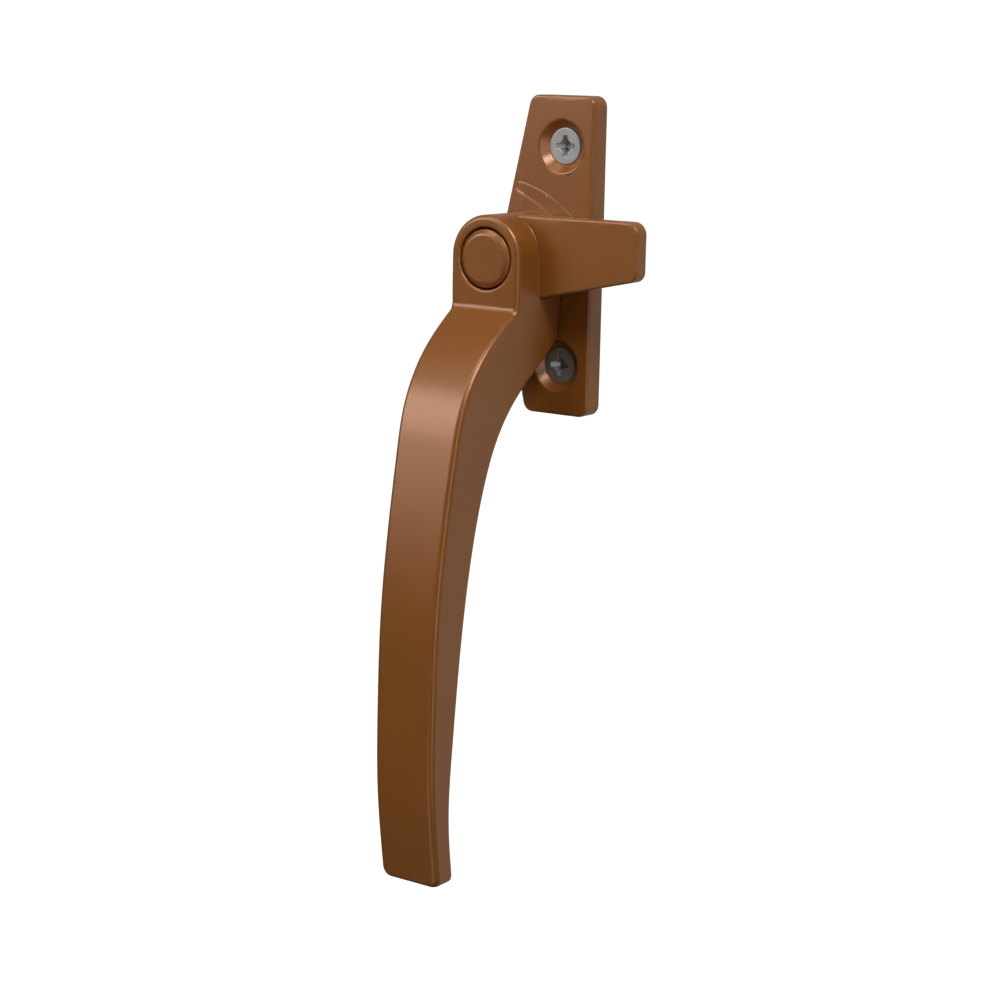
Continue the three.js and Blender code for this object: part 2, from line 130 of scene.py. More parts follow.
# Button and key
BUTTON_R, BUTTON_FRONT, BUTTON_REAR, BUTTON_EDGE = 5.7, 19.2, 16.2, 0.2
BEVEL_WIDTH, BEVEL_SLOPE, BEVEL_EDGE = 0.95, 1.35, 0.15
BOSS_R, BOSS_END, BOSS_ROOT, BOSS_FILLET = 2.9, 14.9, 17, 0.3
SOCKET_HALF, SOCKET_TOP = 1.6, 17.3
KEY_HALF, KEY_TIP, KEY_TOP, KEY_CORNER, KEY_END_EDGE = 1.5, 2.4, 17.2, 0.15, 0.3
KEY_NECK_R, KEY_NECK_H, KEY_NECK_HALF, KEY_NECK_EDGE = 1.45, 4.05, 0.3, 0.06

# Fixing screw. A scale brings a sloping field's values near to true distances.
HEAD_R, HEAD_TOP, HEAD_BOTTOM, HEAD_EDGE = 3.7, 3.2, -0.4, 0.3
HEAD_SLOPE, HEAD_SCALE, HEAD_INSET, HEAD_DROP = 0.62, 1.18, 0.15, 0.1
SHANK_R, SHANK_ROOT, SHANK_FILLET = 1.95, 1, 0.25
SCREW_TIP, SCREW_POINT, SCREW_BLUNT = -9.8, 3.4, 0.25
THREAD_PITCH, THREAD_ROOT, THREAD_DEPTH, THREAD_SCALE = 1.4, 1.4, 0.53, 1.6
THREAD_SHARE = 0.6                # of the pitch, taken up by the ridge
THREAD_END, THREAD_RUNOUT = 0.6, 1.2
ARM_REACH, ARM_REACH_TAPER, ARM_HALF, ARM_HALF_TAPER, ARM_FILLET = 2.1, 0.8, 0.48, 0.05, 0.55
CONE_R, CONE_TAPER, CONE_SCALE, CONE_FILLET = 1.3, 0.45, 1.1, 0.2
RECESS_DEPTH, RECESS_EDGE = 1.9, 0.07

FINE_EDGE, FINEST_EDGE = 0.12, 0.08     # rounding on the edges of machined and stamped shapes

RINGS = {                         # inner and outer radius, bottom, top and edge rounding
    "wave_washer": (4.25, 5.2, 2.83, 3.13, 0.06),
    "thrust_washer": (4.15, 6.1, 5.0, 5.7, 0.12),
    "retaining_washer": (4.15, 5.2, 2.25, 2.6, 0.08),
    "spigot_circlip": (3.55, 5.1, 1.67, 2.12, 0.08),
    "key_clip": (1.55, 2.7, 3.82, 4.27, 0.07),
}
WAVE_HEIGHT, WAVE_COUNT = 0.1, 3
SPIGOT_CIRCLIP_GAP, KEY_CLIP_GAP = 0.9, 1.1     # radians
RING_SIDES, RING_END = 144, 0.8   # points round a ring, and how far an open one's ends shrink
TURN_SEGMENTS, WIRE_SIDES, WIRE_END = 64, 16, 0.7
CLOSING = 0.75                    # how much the spring's end turns close up


# ---------------------------------------------------------------- distance fields, in millimetres

def rounded_and(a, b, radius):
    """What is inside both a and b, with the edge between them rounded."""
    over = np.hypot(np.maximum(radius + a, 0), np.maximum(radius + b, 0))
    return np.minimum(-radius, np.maximum(a, b)) + over


def rounded_or(a, b, radius):
    """What is inside a or b, with a fillet in the corner between them."""
    under = np.hypot(np.maximum(radius - a, 0), np.maximum(radius - b, 0))
    return np.maximum(radius, np.minimum(a, b)) - under


def slab(value, low, high):
    return np.abs(value - (low + high) / 2) - (high - low) / 2


def polygon_field(x, y, corners):
    """Distance to a convex outline through (x, y, corner radius) points, counter-clockwise."""
    points = [np.array(c[:2], float) for c in corners]
    ahead = [points[(i + 1) % len(points)] - p for i, p in enumerate(points)]
    ahead = [a / np.hypot(*a) for a in ahead]
    normals = [np.array([a[1], -a[0]]) for a in ahead]
    distance = np.max([(x - p[0]) * n[0] + (y - p[1]) * n[1] for p, n in zip(points, normals)], axis=0)
    for i, (_, _, radius) in enumerate(corners):
        if radius == 0:
            continue
        first, last = normals[i - 1], normals[i]
        middle = (first + last) / np.hypot(*(first + last))
        centre = points[i] - middle * radius / (middle @ first)
        dx, dy = x - centre[0], y - centre[1]
        in_corner = (first[0] * dy - first[1] * dx > 0) & (dx * last[1] - dy * last[0] > 0)
        distance = np.where(in_corner, np.hypot(dx, dy) - radius, distance)
    return distance


def smooth_curve(points):
    """A natural cubic spline for height as a function of y, which runs on straight at both ends."""
    points = sorted((y, height) for height, y in points)
    knots, heights = np.array(points, float).T
    gaps, rises = np.diff(knots), np.diff(heights)
    count = len(knots)
    matrix, wanted = np.eye(count), np.zeros(count)
    for i in range(1, count - 1):
        matrix[i, i - 1:i + 2] = gaps[i - 1], 2 * (gaps[i - 1] + gaps[i]), gaps[i]
        wanted[i] = 6 * (rises[i] / gaps[i] - rises[i - 1] / gaps[i - 1])
    bends = np.linalg.solve(matrix, wanted)

    def evaluate(y):
        inside = np.clip(y, knots[0], knots[-1])
        i = np.clip(np.searchsorted(knots, inside) - 1, 0, count - 2)
        gap, low, high = gaps[i], inside - knots[i], knots[i + 1] - inside
        value = (bends[i] * high ** 3 + bends[i + 1] * low ** 3) / (6 * gap)
        value += (heights[i] / gap - bends[i] * gap / 6) * high
        value += (heights[i + 1] / gap - bends[i + 1] * gap / 6) * low
        slope = (bends[i + 1] * low ** 2 - bends[i] * high ** 2) / (2 * gap)
        slope += rises[i] / gap - (bends[i + 1] - bends[i]) * gap / 6
        return value + slope * (y - inside), slope

    return evaluate


def step_between(value, low, high):
    t = np.clip((value - low) / (high - low), 0, 1)
    return t * t * (3 - 2 * t)


lever_front = smooth_curve(LEVER_FRONT)
lever_rear = smooth_curve(LEVER_REAR)


def above(curve, y, h):
    """Distance of a height above a curve, square to it."""
    height, slope = curve(y)
    return (h - height) / np.hypot(1, slope)


def square_bar(x, y, half, corner):
    return rounded_and(np.abs(x) - half, np.abs(y) - half, corner)


def hub_and_lever(x, y, h):
    """The outside of the hub and lever, which meet in a flaring neck."""
    depth = np.clip((HUB_FRONT - h) / (HUB_FRONT - HUB_REAR), 0, 1)
    neck = NECK_EXTRA * depth * step_between(-y, *NECK_SPAN)
    below = -FLARE_BEND * np.logaddexp(0, -(y - FLARE_START) / FLARE_BEND)
    half = LEVER_HALF + (HUB_R - LEVER_HALF + neck) * np.exp(below / FLARE_LENGTH)
    arch = np.hypot(x, y - ARCH_Y) - HUB_R - neck
    side = np.where(y > ARCH_Y, arch, np.abs(x) - half)
    outline = rounded_and(side, LEVER_BOTTOM - y, LEVER_CORNER)
    front = rounded_or(h - HUB_FRONT, above(lever_front, y, h), FRONT_CREASE)
    front = rounded_and(front, LEVER_BOTTOM - y, LEVER_END_EDGE)
    front_edge = HUB_EDGE + (LEVER_EDGE - HUB_EDGE) * step_between(-y, *FRONT_EDGE_SPAN)
    rear = rounded_and(HUB_REAR - h, -above(lever_rear, y, h), REAR_CREASE)
    rear_edge = REAR_EDGE + REAR_EDGE_MORE * step_between(-y, *REAR_EDGE_SPAN)
    return rounded_and(rounded_and(outline, front, front_edge), rear, rear_edge)


def nose_field(x, y, h):
    """The nose, its back relieved beside the hub."""
    nose = rounded_and(polygon_field(x, y, NOSE_OUTLINE), slab(h, NOSE_REAR, NOSE_FRONT), NOSE_EDGE)
    relief = np.maximum(np.hypot(x, np.maximum(y, 0)) - RELIEF_R, h - NOSE_REAR - RELIEF_DEPTH)
    return np.maximum(nose, -relief)


def lever_core(x, y, h):
    """The hollow in the lever's back."""
    mouth = MOUTH_SLOPE[0] * (y - MOUTH_Y) - (h - MOUTH_H) * MOUTH_SLOPE[1]
    core = np.maximum(np.maximum(above(lever_front, y, h) + CORE_WALL, mouth), CORE_BOTTOM - y)
    return rounded_and(core, np.abs(x) - CORE_HALF, CORE_CORNER)


def spigot_field(radius, h):
    """The pivot on the hub's rear, with its snap ring's groove."""
    spigot = np.maximum(radius - SPIGOT_R, h - SPIGOT_ROOT)
    spigot = rounded_and(spigot, SPIGOT_END - h, SPIGOT_EDGE)
    groove = np.maximum(GROOVE_R - radius, slab(h, GROOVE_LOW, GROOVE_HIGH))
    return rounded_and(spigot, -groove, FINEST_EDGE)


def hub_bore(radius, h):
    """The button's bore with its chamfered lip, the way through for the key and the clip's bore."""
    lip = (radius - BUTTON_BORE_R - (h - HUB_FRONT + BORE_LIP)) / math.sqrt(2)
    bore = np.maximum(np.minimum(radius - BUTTON_BORE_R, lip), BUTTON_BORE_FLOOR - h)
    bore = np.minimum(bore, radius - KEYWAY_R)
    return np.minimum(bore, np.maximum(radius - CLIP_BORE_R, h - CLIP_BORE_TOP))


def handle_field(x, y, h):
    radius = np.hypot(x, y)
    body = rounded_or(hub_and_lever(x, y, h), nose_field(x, y, h), NOSE_FILLET)
    body = rounded_and(body, -lever_core(x, y, h), CORE_EDGE)
    washer_seat = np.maximum(radius - WASHER_SEAT_R, h - HUB_REAR - WASHER_SEAT_DEPTH)
    body = rounded_and(body, -washer_seat, FINE_EDGE)
    body = np.minimum(body, spigot_field(radius, h))
    return rounded_and(body, -hub_bore(radius, h), FINE_EDGE)


def plate_top(x, y, outline):
    """Height of the base plate's front, with the steps that rise towards the pivot."""
    top = np.full_like(x, PLATE_THICK)
    fade = step_between(-outline, *STEP_FADE)
    for rise, radius, centre_x, centre_y in STEPS:
        arcs = np.maximum(np.hypot(x - centre_x, y - centre_y), np.hypot(x - centre_x, y + centre_y))
        width = STEP_WIDTH * (rise / STEPS[0][0]) ** STEP_SPREAD
        top = top + (rise * fade - (top - PLATE_THICK)) * step_between(radius - arcs, 0, width)
    return top


def keeper_outline(x, y):
    """Distance to the keeper plate's outline, which has round ends."""
    beyond = np.maximum(np.abs(y) - KEEPER_HALF_LENGTH + KEEPER_HALF_WIDTH, 0)
    return np.hypot(x, beyond) - KEEPER_HALF_WIDTH


def plate_field(x, y, h):
    outline = polygon_field(x, y, PLATE_OUTLINE)
    body = rounded_and(outline, h - plate_top(x, y, outline), PLATE_EDGE)
    body = rounded_and(body, -h, PLATE_BACK_EDGE)
    for hole_y in (-HOLE_Y, HOLE_Y):
        radius = np.hypot(x, y - hole_y)
        cone = (radius - COUNTERSINK_R - (h - PLATE_THICK)) / math.sqrt(2)
        cone = np.maximum(cone, radius - COUNTERSINK_R - COUNTERSINK_REACH)
        body = rounded_and(body, -np.minimum(radius - CLEARANCE_R, cone), COUNTERSINK_EDGE)
    pivot_x = x - PIVOT_X
    radius = np.hypot(pivot_x, y)
    recess = np.maximum(keeper_outline(pivot_x, y) - KEEPER_PLAY, h - KEEPER_RECESS)
    pocket = np.minimum(radius - BORE_R, np.maximum(radius - POCKET_R, h - POCKET_DEPTH))
    body = rounded_and(body, -np.minimum(recess, pocket), FINE_EDGE)
    stake = np.hypot(pivot_x, np.abs(y) - STAKE_Y) - STAKE_R
    return np.minimum(body, np.maximum(stake, slab(h, STAKE_TIP, STAKE_ROOT)))


def keeper_field(x, y, h):
    body = rounded_and(keeper_outline(x, y), slab(h, KEEPER_BOTTOM, KEEPER_TOP), FINE_EDGE)
    square = square_bar(x, y, KEEPER_HOLE, KEEPER_HOLE_CORNER)
    stakes = np.hypot(x, np.abs(y) - STAKE_Y) - STAKE_HOLE_R
    return rounded_and(body, -np.minimum(square, stakes), FINEST_EDGE)


def button_field(x, y, h):
    radius = np.hypot(x, y)
    rim = rounded_and(radius - BUTTON_R, h - BUTTON_FRONT, BUTTON_EDGE)
    bevel = radius - BUTTON_R + BEVEL_WIDTH + (h - BUTTON_FRONT) * BEVEL_SLOPE
    rim = rounded_and(rim, bevel / math.hypot(1, BEVEL_SLOPE), BEVEL_EDGE)
    disc = rounded_and(rim, BUTTON_REAR - h, BUTTON_EDGE)
    boss = rounded_and(np.maximum(radius - BOSS_R, h - BOSS_ROOT), BOSS_END - h, BUTTON_EDGE)
    socket = np.maximum(square_bar(x, y, SOCKET_HALF, KEY_CORNER), h - SOCKET_TOP)
    return rounded_and(rounded_or(disc, boss, BOSS_FILLET), -socket, FINEST_EDGE)


def key_field(x, y, h):
    bar = square_bar(x, y, KEY_HALF, KEY_CORNER)
    bar = rounded_and(bar, slab(h, KEY_TIP, KEY_TOP), KEY_END_EDGE)
    neck = np.maximum(KEY_NECK_R - np.hypot(x, y), np.abs(h - KEY_NECK_H) - KEY_NECK_HALF)
    return rounded_and(bar, -neck, KEY_NECK_EDGE)


def screw_head(radius, h):
    """A countersunk head with a rounded rim."""
    cone = (radius - SHANK_R + HEAD_INSET - (h + HEAD_DROP) * HEAD_SLOPE) / HEAD_SCALE
    head = rounded_and(cone, h - HEAD_TOP, HEAD_EDGE)
    head = rounded_and(head, radius - HEAD_R, HEAD_EDGE)
    return np.maximum(head, HEAD_BOTTOM - h)


def screw_shank(x, y, h):
    """A pointed shank with a wood-screw thread that runs out below the head."""
    taper = np.clip((h - SCREW_TIP + SCREW_BLUNT) / SCREW_POINT, 0, 1)
    phase = np.mod(h / THREAD_PITCH - np.arctan2(y, x) / (2 * math.pi), 1)
    ridge = np.clip(1 - np.abs(phase - 0.5) * 2 / THREAD_SHARE, 0, 1)
    ridge = ridge * step_between(THREAD_END - h, 0, THREAD_RUNOUT)
    shank = (np.hypot(x, y) - (THREAD_ROOT + THREAD_DEPTH * ridge) * taper) / THREAD_SCALE
    return np.maximum(np.maximum(shank, SCREW_TIP - h), h - SHANK_ROOT)


def cross_recess(x, y, h):
    """Two crossed arms and a round middle, all narrowing with depth."""
    deep = HEAD_TOP - h
    arms = []
    for along, across in ((x, y), (y, x)):
        end = np.abs(along) - ARM_REACH + ARM_REACH_TAPER * deep
        arms.append(np.maximum(end, np.abs(across) - ARM_HALF + ARM_HALF_TAPER * deep))
    cone = (np.hypot(x, y) - CONE_R + CONE_TAPER * deep) / CONE_SCALE
    recess = rounded_or(rounded_or(*arms, ARM_FILLET), cone, CONE_FILLET)
    return np.maximum(recess, deep - RECESS_DEPTH)


def screw_field(x, y, h):
    screw = rounded_or(screw_head(np.hypot(x, y), h), screw_shank(x, y, h), SHANK_FILLET)
    return rounded_and(screw, -cross_recess(x, y, h), RECESS_EDGE)


# ---------------------------------------------------------------- meshes

FLATTEST = 0.2                    # smallest squared slope that a point's move is worked out with
LONGEST_MOVE = 0.3
FURTHEST_OFF = 0.02               # an edge whose middle lies further off the surface is split
WIDEST_TURN, SHORTEST_SPLIT = math.radians(16), 0.09
FOLDED = 0.5                      # cosine between a folded face and its surface, at most
NARROWEST = 0.006
RIM_REACH, RIM_LIMIT = 0.35, 2
REMESH_ROUNDS, REMESH_RELAX = 3, 0.6
REFINING_ROUNDS, REFINING_RELAX = 5, 0.35


def to_frame(points, origin):
    """Bench millimetres about an origin to the row frame's metres."""
    x, y, h = (np.asarray(points, float) + np.array([origin[0], origin[1], 0])).T
    return np.column_stack([x, -h, y]) * MM


def to_bench(points, origin):
    x, depth, z = (np.asarray(points, float) / MM).T
    return np.column_stack([x - origin[0], z - origin[1], -depth])


def vertices_of(mesh):
    flat = np.empty(len(mesh.vertices) * 3, np.float32)
    mesh.vertices.foreach_get("co", flat)
    return flat.reshape(-1, 3).astype(float)


def edges_of(mesh):
    flat = np.empty(len(mesh.edges) * 2, np.int32)
    mesh.edges.foreach_get("vertices", flat)
    return flat.reshape(-1, 2)


def set_vertices(mesh, points):
    mesh.vertices.foreach_set("co", np.asarray(points, np.float32).ravel())
    mesh.update()


def gradient(field, points, step=0.01):
    x, y, h = points.T
    return np.column_stack([
        field(x + step, y, h) - field(x - step, y, h),
        field(x, y + step, h) - field(x, y - step, h),
        field(x, y, h + step) - field(x, y, h - step),
    ]) / (2 * step)


def normals_at(field, points):
    slopes = gradient(field, points)
    return slopes / np.maximum(np.linalg.norm(slopes, axis=1), 1e-6)[:, None]


def settle(field, points, rounds):
    """Moves points onto the field's surface."""
    for _ in range(rounds):
        slope = gradient(field, points)
        squared = np.maximum((slope ** 2).sum(1), FLATTEST)
        move = np.clip(field(*points.T) / squared, -LONGEST_MOVE, LONGEST_MOVE)
        points = points - slope * move[:, None]
    return points


def relax(field, points, edges, share):
    """Evens out the points' spacing along the surface."""
    first, second = edges.T
    count = np.bincount(edges.ravel(), minlength=len(points))[:, None]
    total = np.column_stack([
        np.bincount(first, points[second, k], len(points))
        + np.bincount(second, points[first, k], len(points))
        for k in range(3)
    ])
    normal = normals_at(field, points)
    move = total / np.maximum(count, 1) - points
    return points + share * (move - normal * (move * normal).sum(1)[:, None])


def new_object(name, data):
    obj = bpy.data.objects.new(name, data)
    bpy.context.scene.collection.objects.link(obj)
    return obj


def with_modifier(obj, kind, **settings):
    """The mesh that a modifier makes of the object's own, which it replaces."""
    modifier = obj.modifiers.new(kind, kind)
    for key, value in settings.items():
        setattr(modifier, key, value)
    depsgraph = bpy.context.evaluated_depsgraph_get()
    made = bpy.data.meshes.new_from_object(obj.evaluated_get(depsgraph))
    obj.modifiers.clear()
    obj.data = made
    return made


def refine(mesh, field):
    """Splits the edges whose middle lies off the field's surface, or whose ends face apart."""
    bm = bmesh.new()
    bm.from_mesh(mesh)
    points = np.array([v.co for v in bm.verts])
    ends = np.array([[v.index for v in e.verts] for e in bm.edges])
    normals = normals_at(field, points)
    first, last = ends.T
    length = np.linalg.norm(points[first] - points[last], axis=1)
    turned = np.arccos(np.clip((normals[first] * normals[last]).sum(1), -1, 1))
    off = np.abs(field(*((points[first] + points[last]) / 2).T))
    chosen = (length > SHORTEST_SPLIT) & ((turned > WIDEST_TURN) | (off > FURTHEST_OFF))
    bm.edges.ensure_lookup_table()
    bmesh.ops.subdivide_edges(bm, edges=[bm.edges[i] for i in np.flatnonzero(chosen)], cuts=1)
    bmesh.ops.triangulate(bm, faces=bm.faces, quad_method="SHORT_EDGE", ngon_method="BEAUTY")
    bm.to_mesh(mesh)
    bm.free()


def mend(mesh, field):
    """Closes up slivers and most of the faces that have folded over."""
    corners = np.empty(len(mesh.polygons) * 3, np.int32)
    mesh.polygons.foreach_get("vertices", corners)
    a, b, c = vertices_of(mesh)[corners.reshape(-1, 3)].transpose(1, 0, 2)
    facing = np.cross(b - a, c - a)
    slopes = gradient(field, (a + b + c) / 3)
    size = np.linalg.norm(facing, axis=1) * np.linalg.norm(slopes, axis=1)
    folded = np.flatnonzero((facing * slopes).sum(1) < FOLDED * size)
    bm = bmesh.new()
    bm.from_mesh(mesh)
    bm.faces.ensure_lookup_table()
    shortest = {min(bm.faces[i].edges, key=lambda e: e.calc_length()) for i in folded}
    chosen, taken = [], set()
    for edge in sorted(shortest, key=lambda e: (e.calc_length(), e.index)):
        if not taken.intersection(edge.verts):
            chosen.append(edge)
            taken.update(edge.verts)
    bmesh.ops.collapse(bm, edges=chosen)
    bmesh.ops.dissolve_degenerate(bm, dist=NARROWEST, edges=bm.edges)
    bmesh.ops.triangulate(bm, faces=bm.faces)
    bm.to_mesh(mesh)
    bm.free()


def mark_rims(mesh, field, points):
    """Stores how sharply the surface bends: above zero on rims, below zero in corners."""
    around = sum(
        field(*(points + side * RIM_REACH * axis).T) for side in (-1, 1) for axis in np.eye(3))
    bend = (around - 6 * field(*points.T)) / RIM_REACH ** 2
    rim = mesh.attributes.new("rim", "FLOAT", "POINT")
    rim.data.foreach_set("value", np.clip(bend, -RIM_LIMIT, RIM_LIMIT).astype(np.float32))


def skin(node, field, origin, voxel, keep=0.4):
    """A smooth surface on the field's zero level, with its starting faces from the CAD node."""
    mesh = frame["nodes"][node].data.copy()
    mesh.materials.clear()
    set_vertices(mesh, to_bench(vertices_of(mesh), origin))
    obj = new_object(f"{node}_skin", mesh)
    mesh = with_modifier(obj, "REMESH", mode="VOXEL", voxel_size=voxel)
    edges = edges_of(mesh)
    points = settle(field, vertices_of(mesh), 3)
    for _ in range(REMESH_ROUNDS):
        points = settle(field, relax(field, points, edges, REMESH_RELAX), 1)
    set_vertices(mesh, settle(field, points, 2))
    mesh = with_modifier(obj, "DECIMATE", ratio=keep)
    for _ in range(REFINING_ROUNDS):
        refine(mesh, field)
        points = settle(field, vertices_of(mesh), 2)
        points = relax(field, points, edges_of(mesh), REFINING_RELAX)
        set_vertices(mesh, settle(field, points, 2))
        mend(mesh, field)
    points = settle(field, vertices_of(mesh), 1)
    mark_rims(mesh, field, points)
    set_vertices(mesh, to_frame(points, origin))
    mesh.shade_smooth()
    x, y, h = normals_at(field, points).T
    mesh.normals_split_custom_set_from_vertices(np.column_stack([x, -h, y]))
    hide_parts(node)
    return obj


def from_bmesh(node, bm, smooth_angle):
    """Finishes a mesh drawn in bench millimetres about the pivot."""
    bmesh.ops.remove_doubles(bm, verts=bm.verts, dist=1e-4)
    bmesh.ops.recalc_face_normals(bm, faces=bm.faces)
    mesh = bpy.data.meshes.new(f"{node}_skin")
    bm.to_mesh(mesh)
    bm.free()
    set_vertices(mesh, to_frame(vertices_of(mesh), PIVOT))
    mesh.shade_smooth()
    mesh.set_sharp_from_angle(angle=math.radians(smooth_angle))
    obj = new_object(f"{node}_skin", mesh)
    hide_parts(node)
    return obj


def loft(bm, loops, closed):
    """Faces between loops of points; closed joins the last loop to the first, or else caps go on."""
    rows = [[bm.verts.new(p) for p in loop] for loop in loops]
    pairs = zip(rows, rows[1:] + rows[:1]) if closed else zip(rows, rows[1:])
    for low, high in pairs:
        for i in range(len(low)):
            j = (i + 1) % len(low)
            bm.faces.new((low[i], low[j], high[j], high[i]))
    if not closed:
        bm.faces.new(rows[0])
        bm.faces.new(rows[-1])


def rounded_section(inner, outer, low, high, edge, steps=3):
    """A rectangle of [radius, height] points with rounded corners."""
    section = []
    for centre_r, centre_h, start in (
        (outer - edge, low + edge, -90), (outer - edge, high - edge, 0),
        (inner + edge, high - edge, 90), (inner + edge, low + edge, 180),
    ):
        for k in range(steps + 1):
            angle = math.radians(start + 90 * k / steps)
            section.append((centre_r + edge * math.cos(angle), centre_h + edge * math.sin(angle)))
    return section


def ring(node, lift=lambda angle: 0.0, gap=0.0):
    """A ring about the pivot. A gap leaves it open, with its ends drawn in a little."""
    bm = bmesh.new()
    loops = []
    section = rounded_section(*RINGS[node])
    centre = np.mean(section, axis=0)
    for k in range(RING_SIDES if gap == 0 else RING_SIDES + 1):
        angle = gap / 2 + (2 * math.pi - gap) * k / RING_SIDES
        size = RING_END if gap and k in (0, RING_SIDES) else 1.0
        loop = []
        for radius, height in section:
            radius = centre[0] + (radius - centre[0]) * size
            height = centre[1] + (height - centre[1]) * size + lift(angle)
            loop.append((radius * math.cos(angle), radius * math.sin(angle), height))
        loops.append(loop)
    loft(bm, loops, closed=gap == 0)
    return from_bmesh(node, bm, smooth_angle=45)


def conical_spring(node, wire, turns, low, high, wide, narrow):
    """A cone-shaped compression spring, its end turns closed up."""
    bm = bmesh.new()
    loops = []
    steps = turns * TURN_SEGMENTS
    around = np.linspace(0, 2 * math.pi, WIRE_SIDES + 1)[:-1]
    for k in range(steps + 1):
        share = k / steps
        angle = 2 * math.pi * turns * share
        eased = CLOSING * step_between(share, 0.0, 1.0) + (1 - CLOSING) * share
        centre = np.array([
            (wide + (narrow - wide) * share) * math.cos(angle),
            (wide + (narrow - wide) * share) * math.sin(angle),
            low + (high - low) * eased,
        ])
        out = np.array([math.cos(angle), math.sin(angle), 0])
        size = wire / 2 * (WIRE_END if k in (0, steps) else 1)
        loops.append([
            tuple(centre + size * (math.cos(a) * out + math.sin(a) * np.array([0, 0, 1])))
            for a in around
        ])
    loft(bm, loops, closed=False)
    return from_bmesh(node, bm, smooth_angle=60)


# ---------------------------------------------------------------- materials

BRONZE, BRONZE_LIGHT = (0.318, 0.101, 0.011), (0.338, 0.108, 0.013)
LIGHT_FLECK, DARK_FLECK = (0.56, 0.28, 0.10), (0.13, 0.05, 0.012)
# the rim colour is a painted highlight and the corner colour a painted shade
PAINTED_HIGHLIGHT, PAINTED_SHADE = (0.55, 0.30, 0.14), (0.08, 0.035, 0.012)
ZINC_DULL, ZINC_BRIGHT = (0.42, 0.42, 0.42), (0.54, 0.53, 0.51)
STEEL_DARK, STEEL_LIGHT = (0.13, 0.135, 0.15), (0.25, 0.25, 0.26)
NYLON_DEEP, NYLON_PALE = (0.80, 0.77, 0.68), (0.87, 0.85, 0.78)


class Nodes:
    """A few words for drawing a node tree. Noise scales are per millimetre."""

    def __init__(self, name):
        self.material = bpy.data.materials.new(name)
        self.material.use_nodes = True
        self.tree = self.material.node_tree
        self.shader = self.tree.nodes["Principled BSDF"]
        where = self.add("ShaderNodeTexCoord")
        self.millimetres = self.add("ShaderNodeMapping")
        self.millimetres.inputs["Scale"].default_value = (1 / MM,) * 3
        self.link(where.outputs["Object"], self.millimetres.inputs["Vector"])

    def add(self, kind, **settings):
        node = self.tree.nodes.new(kind)
        for key, value in settings.items():
            setattr(node, key, value)
        return node

    def link(self, output, socket):
        self.tree.links.new(output, socket)

    def noise(self, scale, detail=2.0, roughness=0.5, stretch=None):
        node = self.add("ShaderNodeTexNoise")
        node.inputs["Scale"].default_value = scale
        node.inputs["Detail"].default_value = detail
        node.inputs["Roughness"].default_value = roughness
        source = self.millimetres.outputs["Vector"]
        if stretch:
            squeeze = self.add("ShaderNodeMapping")
            squeeze.inputs["Scale"].default_value = stretch
            self.link(source, squeeze.inputs["Vector"])
            source = squeeze.outputs["Vector"]
        self.link(source, node.inputs["Vector"])
        return node.outputs["Fac"]

    def between(self, value, low, high, to_low=0.0, to_high=1.0):
        """The value's place between low and high, carried over to another range."""
        node = self.add("ShaderNodeMapRange")
        limits = {"From Min": low, "From Max": high, "To Min": to_low, "To Max": to_high}
        for key, number in limits.items():
            node.inputs[key].default_value = number
        self.link(value, node.inputs["Value"])
        return node.outputs["Result"]

    def sum(self, first, second):
        node = self.add("ShaderNodeMath", operation="ADD")
        self.link(first, node.inputs[0])
        self.link(second, node.inputs[1])
        return node.outputs[0]

    def product(self, first, second):
        node = self.add("ShaderNodeMath", operation="MULTIPLY")
        self.link(first, node.inputs[0])
        if isinstance(second, float):
            node.inputs[1].default_value = second
        else:
            self.link(second, node.inputs[1])
        return node.outputs[0]

    def colour_mix(self, share, first, second):
        node = self.add("ShaderNodeMix", data_type="RGBA")
        self.link(share, node.inputs["Factor"])
        for socket, colour in ((node.inputs[6], first), (node.inputs[7], second)):
            if isinstance(colour, tuple):
                socket.default_value = (*colour, 1)
            else:
                self.link(colour, socket)
        return node.outputs[2]

    def rim(self):
        return self.add("ShaderNodeAttribute", attribute_name="rim").outputs["Fac"]

    def bump(self, height, distance, under=None):
        """A bump as high as the distance in millimetres, laid over the one under it."""
        node = self.add("ShaderNodeBump")
        node.inputs["Strength"].default_value = 1.0
        node.inputs["Distance"].default_value = distance * MM
        self.link(height, node.inputs["Height"])
        if under:
            self.link(under, node.inputs["Normal"])
        return node.outputs["Normal"]

    def set(self, **values):
        for key, value in values.items():
            socket = self.shader.inputs[key.replace("_", " ")]
            if isinstance(value, bpy.types.NodeSocket):
                self.link(value, socket)
            else:
                socket.default_value = value


